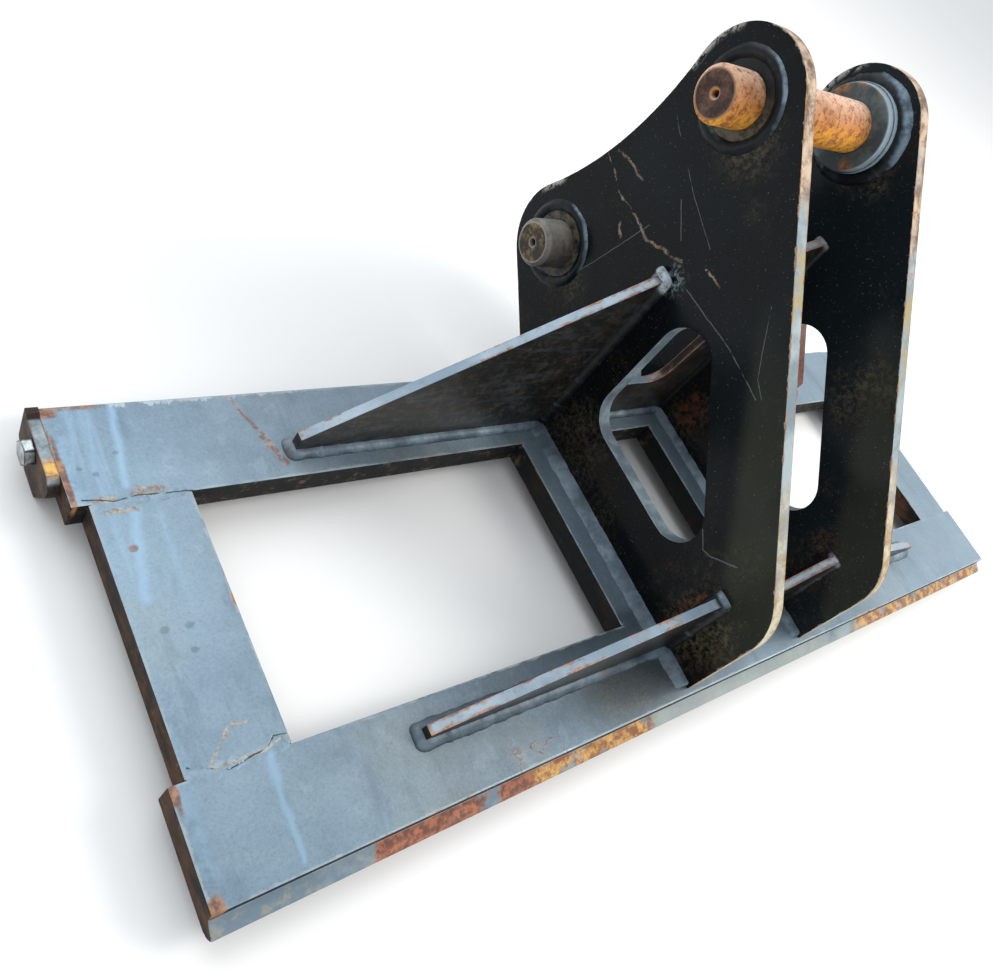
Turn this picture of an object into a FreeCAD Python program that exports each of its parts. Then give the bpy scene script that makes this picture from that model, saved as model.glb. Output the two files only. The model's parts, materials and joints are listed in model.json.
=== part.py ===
import FreeCAD
import Part
import math
import os
import re
import Sketcher

# Fork carriage frame with a two-pin hitch for an excavator quick coupler.
# It lies on its fork face: X runs along the fork bars, Y from the lower bar to the upper bar,
# +Z points away from the forks. The origin is at mid length and mid height, on the fork face.

doc = FreeCAD.newDocument("fork_carriage")
sheet = doc.addObject("Spreadsheet::Sheet", "dims")

DIMENSIONS = [
    # fork bars
    ("bar_length", 1506, "length of both fork bars"),
    ("face_height", 492, "height over the bars, without their tongues"),
    ("plate_thickness", 32, "bars, end plates and middle members"),
    ("lower_width", 108, "lower bar, without its tongue"),
    ("upper_width", 112, "upper bar, without its tongue"),
    ("tongue_reach", 16, "how far a tongue stands out past its bar"),
    ("tongue_shelf", 20, "height of the tongue where it leaves the bar"),
    ("tongue_nose", 10, "height of the tongue's nose"),
    # uprights between the bars
    ("end_inset", 15, "bar end to end plate"),
    ("end_width", 100, "end plate"),
    ("member_width", 110, "middle member"),
    ("member_outer", 186, "mid plane to the member's outer edge"),
    # ears
    ("ear_gap", 236, "clear width between the ears"),
    ("ear_thickness", 20, "ear plate"),
    ("ear_setback", 8, "bar's outer edge to the ear's lower edge"),
    ("ear_corner", 80, "radius of the ear's lower corner"),
    ("ear_slope", 41.4, "angle of the long front edge"),
    ("heel_slope", 37.7, "angle of the edge under the link pin"),
    ("lobe_radius", 76, "ear around each pin"),
    ("waist_radius", 450, "hollow edge between the two lobes"),
    ("window_base", 85, "bar face to the window's lower edge"),
    ("window_far", 116, "mid height to the window's straight side"),
    ("window_near", -54.7, "mid height to the centre of the window's sharp corner"),
    ("window_corner", 40, "radius of the window's corners"),
    # pins and bosses
    ("main_height", 243, "main pin above mid height"),
    ("main_standoff", 502, "main pin above the fork face"),
    ("link_height", 319.5, "link pin above mid height"),
    ("link_standoff", 211, "link pin above the fork face"),
    ("pin_diameter", 60, "both pins"),
    ("main_overhang", 46, "main pin past the left ear"),
    ("link_overhang", 43, "link pin past the left ear"),
    ("pin_chamfer", 5, "pin ends"),
    ("fit_gap", 0.05, "radial clearance of every running fit"),
    ("boss_diameter", 106, "collar on the inside of each ear"),
    ("boss_length", 29, "collar on the inside of each ear"),
    ("boss_rim", 11, "narrower rim at the collar's face"),
    ("spigot_diameter", 84, "part of the boss that sits in the ear"),
    # pin flags
    ("flag_thickness", 12, "flag plate on each pin"),
    ("flag_reach", 95, "pin centre to the flag's bolt"),
    ("flag_tip", 24, "radius of the flag around its bolt"),
    ("flag_root", 46, "radius of the flag around its pin"),
    ("flag_thread", 16, "flag bolt"),
    ("flag_flats", 24, "flag bolt head across flats"),
    ("flag_head", 10, "flag bolt head height"),
    ("flag_depth", 15, "flag bolt in the right ear"),
    # gussets and cross plates
    ("rib_thickness", 12, "gussets and cross plates"),
    ("gusset_tail", 513, "mid plane to the gussets' outer ends"),
    ("upper_rib", 174, "mid height to the far side of the upper gussets"),
    ("upper_rise", 284, "left upper gusset at the ear"),
    ("right_upper_rise", 312, "right upper gusset at the ear"),
    ("upper_toe", 25, "upper gusset at its tail"),
    ("lower_rib", -169, "mid height to the far side of the lower gussets"),
    ("lower_rise", 118, "lower gusset at the ear"),
    ("lower_toe", 19, "lower gusset at its tail"),
    ("cross_rib", 174, "mid height to the far side of the upper cross plate"),
    ("cross_rise", 357, "upper cross plate at the ears"),
    ("cross_shoulder", 38, "width of its sloping shoulders"),
    ("cross_drop", 17, "fall of its sloping shoulders"),
    ("slot_floor", 76, "floor of the deep slot"),
    ("slot_floor_width", 100, "slot across its floor, before rounding"),
    ("slot_corner", 30, "rounding of the slot's floor"),
    ("brace_rise", 120, "lower cross plate at the ears"),
    ("brace_floor", 45, "lower cross plate at its middle"),
    ("brace_floor_width", 44, "flat stretch at its middle"),
    # end stops
    ("stop_thickness", 12, "stop plate on the bar's end"),
    ("stop_near", 160, "mid height to the stop's lower edge"),
    ("stop_far", 246, "mid height to the stop's upper edge"),
    ("stop_hang", 23, "how far it hangs past the fork face"),
    ("stop_height", 209, "stop bolt above mid height"),
    ("stop_thread", 16, "stop bolt"),
    ("stop_flats", 24, "stop bolt head across flats"),
    ("stop_head", 10, "stop bolt head height"),
    ("stop_depth", 40, "stop bolt in the bar"),
    ("stop_corner", 6, "rounding of the stop's corners"),
]

for row, (alias, amount, note) in enumerate(DIMENSIONS, start=1):
    sheet.set("A%d" % row, alias)
    sheet.set("B%d" % row, str(amount))
    sheet.set("C%d" % row, note)
    sheet.setAlias("B%d" % row, alias)
doc.recompute()


def linked(expression):
    """Writes the sheet's name in front of each dimension, as other objects need it."""
    return re.sub(r"\b([a-z]+(?:_[a-z]+)+)\b", r"dims.\1", expression)


def number(expression):
    """Works an expression out with the sheet's present values."""
    return float(sheet.evalExpression(expression))


def new_body(label, base_x="0", base_y="0", base_z="0"):
    """A body whose place is bound to the sheet."""
    body = doc.addObject("PartDesign::Body", label)
    body.Label = label
    for axis, expression in (("x", base_x), ("y", base_y), ("z", base_z)):
        body.setExpression("Placement.Base." + axis, linked(expression))
    return body


def new_sketch(body, name, role):
    """A sketch on one of the body's own origin planes."""
    sketch = body.newObject("Sketcher::SketchObject", name)
    plane = [item for item in body.Origin.OriginFeatures if item.Role == role][0]
    sketch.AttachmentSupport = [(plane, "")]
    sketch.MapMode = "FlatFace"
    return sketch


def fix(sketch, kind, target, expression):
    """Adds one driving constraint and ties it to the sheet."""
    index = sketch.addConstraint(Sketcher.Constraint(kind, *target, number(expression)))
    sketch.setExpression("Constraints[%d]" % index, linked(expression))


def fix_point(sketch, geometry, position, across, up):
    """Holds one point of a sketch at a place measured from the sketch's origin."""
    fix(sketch, "DistanceX", (-1, 1, geometry, position), across)
    fix(sketch, "DistanceY", (-1, 1, geometry, position), up)


def add_polygon(sketch, corners):
    """A closed outline of straight lines, each corner bound to the sheet."""
    points = [FreeCAD.Vector(number(across), number(up), 0) for across, up in corners]
    count = len(points)
    first = sketch.GeometryCount
    for index in range(count):
        sketch.addGeometry(Part.LineSegment(points[index], points[(index + 1) % count]), False)
    for index in range(count):
        after = first + (index + 1) % count
        sketch.addConstraint(Sketcher.Constraint("Coincident", first + index, 2, after, 1))
    for index, (across, up) in enumerate(corners):
        fix_point(sketch, first + index, 1, across, up)


def add_circle(sketch, across, up, diameter):
    """A circle bound to the sheet."""
    centre = FreeCAD.Vector(number(across), number(up), 0)
    circle = Part.Circle(centre, FreeCAD.Vector(0, 0, 1), number(diameter) / 2)
    index = sketch.addGeometry(circle, False)
    fix_point(sketch, index, 3, across, up)
    fix(sketch, "Diameter", (index,), diameter)


def add_arc(sketch, centre, radius, start, end):
    """An arc of a circle, anticlockwise from start to end in degrees."""
    circle = Part.Circle(FreeCAD.Vector(centre[0], centre[1], 0), FreeCAD.Vector(0, 0, 1), radius)
    arc = Part.ArcOfCircle(circle, math.radians(start), math.radians(end))
    return sketch.addGeometry(arc, False)


def add_line(sketch, start, end):
    """A straight line between two points."""
    line = Part.LineSegment(FreeCAD.Vector(*start, 0), FreeCAD.Vector(*end, 0))
    return sketch.addGeometry(line, False)


def on_circle(centre, radius, degrees):
    """The point of a circle at an angle."""
    angle = math.radians(degrees)
    return (centre[0] + radius * math.cos(angle), centre[1] + radius * math.sin(angle))


def pad(body, sketch, length, reverse=False):
    """Pads a sketch by a length bound to the sheet."""
    feature = body.newObject("PartDesign::Pad", body.Label + "_pad")
    feature.Profile = sketch
    feature.setExpression("Length", linked(length))
    feature.Reversed = reverse
    return feature


def cut_through(body, sketch):
    """Cuts a sketch through the material ahead of its plane."""
    feature = body.newObject("PartDesign::Pocket", body.Label + "_cut")
    feature.Profile = sketch
    feature.Type = "ThroughAll"
    feature.Reversed = True
    return feature


def round_corners(body, feature, radius, corners):
    """Rounds the edges along X or Y that stand over the given sketch corners."""
    doc.recompute()
    edges = []
    for index, edge in enumerate(feature.Shape.Edges, start=1):
        middle = edge.valueAt((edge.FirstParameter + edge.LastParameter) / 2)
        spot = (middle.x if abs(edge.tangentAt(edge.FirstParameter).y) > 0.99 else middle.y, middle.z)
        for across, up in corners:
            if math.hypot(spot[0] - number(across), spot[1] - number(up)) < 0.01:
                edges.append("Edge%d" % index)
    rounded = body.newObject("PartDesign::Fillet", body.Label + "_rounding")
    rounded.Base = (feature, edges)
    rounded.setExpression("Radius", linked(radius))
    return rounded


def fork_bar(label, side):
    """A rolled fork bar: a flat with a tongue along its outer edge. side is -1 lower, 1 upper."""
    body = new_body(label, "-bar_length / 2")
    width = "lower_width" if side < 0 else "upper_width"
    outer = "%d * face_height / 2" % side
    inner = "%d * (face_height / 2 - %s)" % (side, width)

    def out(reach):
        return "%d * (face_height / 2 + %s)" % (side, reach)

    section = new_sketch(body, label + "_section", "YZ_Plane")
    add_polygon(section, [
        (inner, "0"),
        (inner, "plate_thickness"),
        (outer, "plate_thickness"),
        (outer, "tongue_shelf"),
        (out("tongue_reach - 3"), "tongue_shelf - 6"),
        (out("tongue_reach"), "tongue_nose"),
        (out("tongue_reach - 5"), "3"),
        (out("4"), "0"),
    ])
    pad(body, section, "bar_length")
    return body


def tapped_end(bar, side):
    """The threaded hole for the stop bolt in one end of the upper bar."""
    sketch = new_sketch(bar, "tapping_%s" % ("left" if side < 0 else "right"), "YZ_Plane")
    add_circle(sketch, "stop_height", "plate_thickness / 2", "stop_thread + 2 * fit_gap")
    hole = bar.newObject("PartDesign::Pocket", sketch.Name + "_hole")
    hole.Profile = sketch
    hole.setExpression("Length", linked("stop_depth + 4"))
    hole.Reversed = side < 0
    if side > 0:
        sketch.setExpression("AttachmentOffset.Base.z", linked("bar_length"))


def upright(label, side, outer, width):
    """A flat plate that joins the two bars. side is -1 on the left, 1 on the right."""
    body = new_body(label)
    outline = new_sketch(body, label + "_outline", "XY_Plane")
    far = "%d * (%s)" % (side, outer)
    near = "%d * (%s - %s)" % (side, outer, width)
    low = "-(face_height / 2 - lower_width)"
    high = "face_height / 2 - upper_width"
    add_polygon(outline, [(far, low), (near, low), (near, high), (far, high)])
    pad(body, outline, "plate_thickness")
    return body


def ear_outline(sketch):
    """The ear seen along the pins: two lobes, a hollow waist and a long sloping front edge."""
    slope = number("ear_slope")
    heel = number("heel_slope")
    lobe = number("lobe_radius")
    waist = number("waist_radius")
    corner = number("ear_corner")
    low = number("plate_thickness")
    near = number("ear_setback - face_height / 2")
    main = (number("main_height"), number("main_standoff"))
    link = (number("link_height"), number("link_standoff"))

    front_end = on_circle(main, lobe, 90 + slope)
    rise = math.tan(math.radians(slope))
    corner_top = front_end[1] - rise * (front_end[0] - near - corner)
    corner_centre = (near + corner, corner_top - corner / math.cos(math.radians(slope)))
    front_start = on_circle(corner_centre, corner, 90 + slope)

    middle = ((main[0] + link[0]) / 2, (main[1] + link[1]) / 2)
    pitch = math.hypot(link[0] - main[0], link[1] - main[1])
    reach = math.sqrt((waist + lobe) ** 2 - pitch ** 2 / 4)
    outward = (-(link[1] - main[1]) / pitch, (link[0] - main[0]) / pitch)
    waist_centre = (middle[0] + reach * outward[0], middle[1] + reach * outward[1])
    to_main = math.degrees(math.atan2(waist_centre[1] - main[1], waist_centre[0] - main[0]))
    to_link = math.degrees(math.atan2(waist_centre[1] - link[1], waist_centre[0] - link[0]))

    heel_start = on_circle(link, lobe, heel - 90)
    heel_end = (heel_start[0] - (heel_start[1] - low) / math.tan(math.radians(heel)), low)

    base = add_line(sketch, heel_end, (near, low))
    edge = add_line(sketch, (near, low), (near, corner_centre[1]))
    turn = add_arc(sketch, corner_centre, corner, 90 + slope, 180)
    front = add_line(sketch, front_start, front_end)
    upper = add_arc(sketch, main, lobe, to_main, 90 + slope)
    hollow = add_arc(sketch, waist_centre, waist, 180 + to_main, 180 + to_link)
    lower = add_arc(sketch, link, lobe, heel - 90, to_link)
    under = add_line(sketch, heel_start, heel_end)

    for join in ((base, 2, edge, 1), (under, 2, base, 1)):
        sketch.addConstraint(Sketcher.Constraint("Coincident", *join))
    for join in (
        (edge, 2, turn, 2),
        (turn, 1, front, 1),
        (front, 2, upper, 2),
        (upper, 1, hollow, 1),
        (hollow, 2, lower, 2),
        (lower, 1, under, 1),
    ):
        sketch.addConstraint(Sketcher.Constraint("Tangent", *join))
    sketch.addConstraint(Sketcher.Constraint("Horizontal", base))
    sketch.addConstraint(Sketcher.Constraint("Vertical", edge))
    fix_point(sketch, edge, 1, "ear_setback - face_height / 2", "plate_thickness")
    fix(sketch, "Radius", (turn,), "ear_corner")
    fix(sketch, "Radius", (upper,), "lobe_radius")
    fix(sketch, "Radius", (lower,), "lobe_radius")
    fix(sketch, "Radius", (hollow,), "waist_radius")
    fix_point(sketch, upper, 3, "main_height", "main_standoff")
    fix_point(sketch, lower, 3, "link_height", "link_standoff")
    index = sketch.addConstraint(Sketcher.Constraint("Angle", front, math.radians(slope)))
    sketch.setExpression("Constraints[%d]" % index, linked("ear_slope * 1deg"))
    index = sketch.addConstraint(Sketcher.Constraint("Angle", under, math.radians(heel - 180)))
    sketch.setExpression("Constraints[%d]" % index, linked("(heel_slope - 180) * 1deg"))


def window_outline(sketch):
    """The three-cornered window, its long side parallel to the ear's front edge."""
    slope = number("ear_slope")
    radius = number("window_corner")
    level = number("plate_thickness + window_base + window_corner")
    near = (number("window_near"), level)
    far = (number("window_far - window_corner"), level)
    top = (far[0], level + (far[0] - near[0]) * math.tan(math.radians(slope)))

    sharp = add_arc(sketch, near, radius, 90 + slope, 270)
    floor = add_line(sketch, on_circle(near, radius, 270), on_circle(far, radius, 270))
    square = add_arc(sketch, far, radius, 270, 360)
    side = add_line(sketch, on_circle(far, radius, 0), on_circle(top, radius, 0))
    peak = add_arc(sketch, top, radius, 0, 90 + slope)
    roof = add_line(sketch, on_circle(top, radius, 90 + slope), on_circle(near, radius, 90 + slope))

    for join in (
        (sharp, 2, floor, 1),
        (floor, 2, square, 1),
        (square, 2, side, 1),
        (side, 2, peak, 1),
        (peak, 2, roof, 1),
        (roof, 2, sharp, 1),
    ):
        sketch.addConstraint(Sketcher.Constraint("Tangent", *join))
    for arc in (sharp, square, peak):
        fix(sketch, "Radius", (arc,), "window_corner")
    fix_point(sketch, sharp, 3, "window_near", "plate_thickness + window_base + window_corner")
    corner = ("window_far - window_corner", "plate_thickness + window_base + window_corner")
    fix_point(sketch, square, 3, *corner)
    fix(sketch, "DistanceX", (-1, 1, peak, 3), corner[0])
    rise = "(window_far - window_corner - window_near) * tan(ear_slope)"
    fix(sketch, "DistanceY", (-1, 1, peak, 3), corner[1] + " + " + rise)


def ear(label, side):
    """One ear plate with its window and the two holes for the bosses."""
    place = "-ear_gap / 2 - ear_thickness" if side < 0 else "ear_gap / 2"
    body = new_body(label, place)
    outline = new_sketch(body, label + "_outline", "YZ_Plane")
    ear_outline(outline)
    pad(body, outline, "ear_thickness")
    window = new_sketch(body, label + "_window", "YZ_Plane")
    window_outline(window)
    cut_through(body, window)
    holes = new_sketch(body, label + "_boss_holes", "YZ_Plane")
    add_circle(holes, "main_height", "main_standoff", "spigot_diameter + 2 * fit_gap")
    add_circle(holes, "link_height", "link_standoff", "spigot_diameter + 2 * fit_gap")
    cut_through(body, holes)
    if side > 0:
        taps = new_sketch(body, label + "_flag_taps", "YZ_Plane")
        taps.setExpression("AttachmentOffset.Base.z", linked("ear_thickness"))
        for pin in ("main", "link"):
            add_circle(taps, *flag_bolt_place(pin), "flag_thread + 2 * fit_gap")
        blind = body.newObject("PartDesign::Pocket", label + "_blind_taps")
        blind.Profile = taps
        blind.setExpression("Length", linked("flag_depth + 1"))
    return body


def flag_bolt_place(pin):
    """Where a flag's bolt enters the right ear: down the ear from the main pin, inward from the link pin."""
    if pin == "main":
        return (
            "main_height - flag_reach * cos(ear_slope)",
            "main_standoff - flag_reach * sin(ear_slope)",
        )
    return ("link_height - flag_reach", "link_standoff")


def turned(label, half_section, base_x, base_y, base_z):
    """A turned piece: its half section along X, revolved about its own X axis."""
    body = new_body(label, base_x, base_y, base_z)
    sketch = new_sketch(body, label + "_half_section", "XZ_Plane")
    add_polygon(sketch, half_section)
    feature = body.newObject("PartDesign::Revolution", label + "_turning")
    feature.Profile = sketch
    feature.ReferenceAxis = (sketch, ["H_Axis"])
    feature.Angle = 360
    return body


def boss(label, side, pin):
    """A collar against the ear's inner face with a spigot through the ear, bored for the pin."""
    inward = -side
    bore = "pin_diameter / 2 + fit_gap"

    def along(distance):
        return "%d * (%s)" % (inward, distance)

    return turned(label, [
        (along("-ear_thickness"), bore),
        (along("-ear_thickness"), "spigot_diameter / 2"),
        ("0", "spigot_diameter / 2"),
        ("0", "boss_diameter / 2"),
        (along("boss_length - boss_rim"), "boss_diameter / 2"),
        (along("boss_length - boss_rim"), "boss_diameter / 2 - 2"),
        (along("boss_length - 2"), "boss_diameter / 2 - 2"),
        (along("boss_length"), "boss_diameter / 2 - 4"),
        (along("boss_length"), bore),
    ], "%d * ear_gap / 2" % side, pin + "_height", pin + "_standoff")


def pin(label, name):
    """A hitch pin with chamfered ends and a lathe centre in each end."""
    left = "-(ear_gap / 2 + ear_thickness + %s_overhang)" % name
    right = "ear_gap / 2 + ear_thickness + flag_thickness + 8"
    radius = "pin_diameter / 2"
    return turned(label, [
        (left + " + 10", "0"),
        (left + " + 4", "3.5"),
        (left, "5.5"),
        (left, radius + " - pin_chamfer"),
        (left + " + pin_chamfer", radius),
        (right + " - 3", radius),
        (right, radius + " - 3"),
        (right, "5.5"),
        (right + " - 4", "3.5"),
        (right + " - 10", "0"),
    ], "0", name + "_height", name + "_standoff")


def flag(label, name):
    """The plate welded round a pin's right end; its bolt keeps the pin from turning or sliding."""
    body = new_body(label, "ear_gap / 2 + ear_thickness")
    root = (number(name + "_height"), number(name + "_standoff"))
    bolt = flag_bolt_place(name)
    tip = (number(bolt[0]), number(bolt[1]))
    bearing = math.degrees(math.atan2(tip[1] - root[1], tip[0] - root[0]))
    spread = math.degrees(math.acos(number("(flag_root - flag_tip) / flag_reach")))
    sketch = new_sketch(body, label + "_outline", "YZ_Plane")
    big = add_arc(sketch, root, number("flag_root"), bearing + spread, bearing - spread + 360)
    first = add_line(
        sketch,
        on_circle(root, number("flag_root"), bearing - spread),
        on_circle(tip, number("flag_tip"), bearing - spread),
    )
    small = add_arc(sketch, tip, number("flag_tip"), bearing - spread, bearing + spread)
    second = add_line(
        sketch,
        on_circle(tip, number("flag_tip"), bearing + spread),
        on_circle(root, number("flag_root"), bearing + spread),
    )
    for join in ((big, 2, first, 1), (first, 2, small, 1), (small, 2, second, 1), (second, 2, big, 1)):
        sketch.addConstraint(Sketcher.Constraint("Tangent", *join))
    fix(sketch, "Radius", (big,), "flag_root")
    fix(sketch, "Radius", (small,), "flag_tip")
    fix_point(sketch, big, 3, name + "_height", name + "_standoff")
    fix_point(sketch, small, 3, *bolt)
    pad(body, sketch, "flag_thickness")
    holes = new_sketch(body, label + "_holes", "YZ_Plane")
    add_circle(holes, name + "_height", name + "_standoff", "pin_diameter + 2 * fit_gap")
    add_circle(holes, *bolt, "flag_thread + 2 * fit_gap")
    cut_through(body, holes)
    return body


def hex_bolt(label, side, size, seat, depth, across, up):
    """A hexagon bolt along X. Its head stands on the seat, outward; its shank goes inward."""
    body = new_body(label, "%d * (%s)" % (side, seat), across, up)
    corner = size + "_flats / sqrt(3)"
    head = new_sketch(body, label + "_hexagon", "YZ_Plane")
    add_polygon(head, [
        ("%s * cos(%d)" % (corner, turn), "%s * sin(%d)" % (corner, turn))
        for turn in range(0, 360, 60)
    ])
    pad(body, head, size + "_head", reverse=side < 0)
    shank = new_sketch(body, label + "_shank", "YZ_Plane")
    add_circle(shank, "0", "0", size + "_thread")
    pad(body, shank, depth, reverse=side > 0)
    return body


def rib(label, far_side, corners):
    """A plate standing on a bar, across the ears. Its outline is given in X and Z."""
    body = new_body(label, "0", far_side)
    outline = new_sketch(body, label + "_outline", "XZ_Plane")
    add_polygon(outline, corners)
    return body, pad(body, outline, "rib_thickness")


def gusset(label, side, level):
    """A long three-cornered gusset from an ear's outer face to its blunt tail on the bar."""
    ear_face = "%d * (ear_gap / 2 + ear_thickness)" % side
    tail = "%d * gusset_tail" % side
    rise = "right_upper_rise" if side > 0 and level == "upper" else level + "_rise"
    return rib(label, level + "_rib", [
        (ear_face, "plate_thickness"),
        (tail, "plate_thickness"),
        (tail, "plate_thickness + %s_toe" % level),
        (ear_face, "plate_thickness + " + rise),
    ])[0]


def upper_cross_plate(label):
    """The tall plate between the ears, with a deep slot down its middle."""
    edge = "ear_gap / 2"
    lip = "ear_gap / 2 - cross_shoulder"
    lip_top = "plate_thickness + cross_rise - cross_drop"
    floor = "slot_floor_width / 2"
    floor_top = "plate_thickness + slot_floor"
    right = [(edge, "plate_thickness"), (edge, "plate_thickness + cross_rise"), (lip, lip_top)]
    right.append((floor, floor_top))
    left = [("-(%s)" % across, up) for across, up in reversed(right)]
    body, plate = rib(label, "cross_rib", right + left)
    round_corners(body, plate, "slot_corner", [(floor, floor_top), ("-(%s)" % floor, floor_top)])
    return body


def lower_cross_plate(label):
    """The low plate between the ears, dipping to its middle."""
    edge = "ear_gap / 2"
    floor = "brace_floor_width / 2"
    right = [
        (edge, "plate_thickness"),
        (edge, "plate_thickness + brace_rise"),
        (floor, "plate_thickness + brace_floor"),
    ]
    left = [("-(%s)" % across, up) for across, up in reversed(right)]
    return rib(label, "lower_rib", right + left)[0]


def stop_plate(label, side):
    """The stop on an end of the upper bar: it hangs past the fork face and a fork runs against it."""
    place = "-bar_length / 2 - stop_thickness" if side < 0 else "bar_length / 2"
    body = new_body(label, place)
    corners = [
        ("stop_near + 10", "plate_thickness"),
        ("stop_near", "plate_thickness - 10"),
        ("stop_near", "9"),
        ("stop_near + 22", "-stop_hang"),
        ("stop_far - 32", "-stop_hang"),
        ("stop_far - 2", "-6"),
        ("stop_far", "plate_thickness + 4"),
        ("stop_far - 7", "plate_thickness + 4"),
        ("stop_far - 10", "plate_thickness"),
    ]
    outline = new_sketch(body, label + "_outline", "YZ_Plane")
    add_polygon(outline, corners)
    plate = pad(body, outline, "stop_thickness")
    round_corners(body, plate, "stop_corner", corners[2:6])
    hole = new_sketch(body, label + "_hole", "YZ_Plane")
    add_circle(hole, "stop_height", "plate_thickness / 2", "stop_thread + 2 * fit_gap")
    cut_through(body, hole)
    return body


bodies = []

lower_bar = fork_bar("lower_fork_bar", -1)
upper_bar = fork_bar("upper_fork_bar", 1)
tapped_end(upper_bar, -1)
tapped_end(upper_bar, 1)
bodies += [lower_bar, upper_bar]

for hand, side in (("left", -1), ("right", 1)):
    bodies.append(upright(hand + "_end_plate", side, "bar_length / 2 - end_inset", "end_width"))
    bodies.append(upright(hand + "_middle_member", side, "member_outer", "member_width"))
    bodies.append(ear(hand + "_ear", side))
    bodies.append(boss(hand + "_main_boss", side, "main"))
    bodies.append(boss(hand + "_link_boss", side, "link"))
    bodies.append(gusset(hand + "_upper_gusset", side, "upper"))
    bodies.append(gusset(hand + "_lower_gusset", side, "lower"))
    bodies.append(stop_plate(hand + "_stop_plate", side))
    bodies.append(hex_bolt(
        hand + "_stop_bolt", side, "stop", "bar_length / 2 + stop_thickness",
        "stop_thickness + stop_depth", "stop_height", "plate_thickness / 2",
    ))

bodies.append(upper_cross_plate("upper_cross_plate"))
bodies.append(lower_cross_plate("lower_cross_plate"))

for name in ("main", "link"):
    bodies.append(pin(name + "_pin", name))
    bodies.append(flag(name + "_pin_flag", name))
    bodies.append(hex_bolt(
        name + "_pin_bolt", 1, "flag", "ear_gap / 2 + ear_thickness + flag_thickness",
        "flag_thickness + flag_depth", *flag_bolt_place(name),
    ))

doc.recompute()

for item in doc.Objects:
    if "Invalid" in item.State or "Error" in item.State:
        raise RuntimeError("%s did not recompute: %s" % (item.Label, item.State))

os.makedirs("parts", exist_ok=True)
total = 0
for body in bodies:
    shape = body.Shape
    if shape.isNull() or not shape.isValid() or len(shape.Solids) != 1:
        raise RuntimeError("bad shape: " + body.Label)
    shape.exportStep("parts/%s.step" % body.Label)
    mass = shape.Volume * 7.85e-6
    total += mass
    box = shape.BoundBox
    print("%-20s %7.2f kg  x %7.1f %7.1f  y %7.1f %7.1f  z %7.1f %7.1f" % (
        body.Label, mass, box.XMin, box.XMax, box.YMin, box.YMax, box.ZMin, box.ZMax))
print("pieces %d, steel mass %.1f kg" % (len(bodies), total))
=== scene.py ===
import bmesh
import bpy
import json
import math
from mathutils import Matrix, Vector, noise
from mathutils.kdtree import KDTree

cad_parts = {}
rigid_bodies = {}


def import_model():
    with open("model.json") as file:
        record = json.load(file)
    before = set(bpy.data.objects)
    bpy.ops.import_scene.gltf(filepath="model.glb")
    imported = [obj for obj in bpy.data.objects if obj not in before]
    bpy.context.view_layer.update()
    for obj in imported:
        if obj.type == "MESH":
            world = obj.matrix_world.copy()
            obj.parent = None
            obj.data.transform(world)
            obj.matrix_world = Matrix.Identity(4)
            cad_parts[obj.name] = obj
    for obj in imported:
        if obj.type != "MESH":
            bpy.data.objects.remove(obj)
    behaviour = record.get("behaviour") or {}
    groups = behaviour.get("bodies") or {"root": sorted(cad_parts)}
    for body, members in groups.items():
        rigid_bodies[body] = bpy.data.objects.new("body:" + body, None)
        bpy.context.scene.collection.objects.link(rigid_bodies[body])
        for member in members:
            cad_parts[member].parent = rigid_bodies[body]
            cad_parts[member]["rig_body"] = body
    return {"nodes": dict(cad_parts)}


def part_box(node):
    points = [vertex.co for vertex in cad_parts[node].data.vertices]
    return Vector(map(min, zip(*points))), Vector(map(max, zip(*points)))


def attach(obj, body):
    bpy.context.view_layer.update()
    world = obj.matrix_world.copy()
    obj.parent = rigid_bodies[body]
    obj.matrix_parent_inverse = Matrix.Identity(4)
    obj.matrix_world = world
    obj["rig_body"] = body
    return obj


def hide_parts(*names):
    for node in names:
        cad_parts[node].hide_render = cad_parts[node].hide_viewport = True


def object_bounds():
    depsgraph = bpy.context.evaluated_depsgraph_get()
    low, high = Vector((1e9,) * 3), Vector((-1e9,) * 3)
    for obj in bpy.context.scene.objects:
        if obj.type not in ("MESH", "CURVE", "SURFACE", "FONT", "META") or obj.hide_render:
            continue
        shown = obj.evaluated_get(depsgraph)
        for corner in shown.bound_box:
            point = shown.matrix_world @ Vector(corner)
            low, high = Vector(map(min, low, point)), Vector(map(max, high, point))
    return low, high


# Fork carriage frame with a two-pin hitch. Everything is in metres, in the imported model's frame.

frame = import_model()
cad_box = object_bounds()

UP = Vector((0, 0, 1))
BAR_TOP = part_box("upper_fork_bar")[1].z
EAR = {-1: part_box("left_ear"), 1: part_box("right_ear")}
MAIN = sum(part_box("left_main_boss"), Vector()) / 2
LINK = sum(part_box("left_link_boss"), Vector()) / 2

SHARP = 28              # degrees between two faces from which their edge counts as sharp
EDGE_LIMIT = 60         # largest distance from an edge that a mesh keeps, in millimetres
WIDE = 9                # half-width of a spot that spans the whole object
WELD_LEG = 0.008        # legs of the plates' fillet welds
BEAD_COLUMNS = 8        # faces across a weld bead
RIPPLE_PITCH = 0.0045   # distance between a bead's ripples
STATION = 0.0025        # distance between a bead's stations
FOOT_END = 0.208        # where the ears' foot welds stop, past the upper bar's middle


# ---------------------------------------------------------------- materials

def rgb(code):
    """A display colour such as 8FA3B5 as linear light."""
    parts = [int(code[i:i + 2], 16) / 255 for i in (0, 2, 4)]
    return tuple(p / 12.92 if p < 0.04045 else ((p + 0.055) / 1.055) ** 2.4 for p in parts) + (1,)


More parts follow.
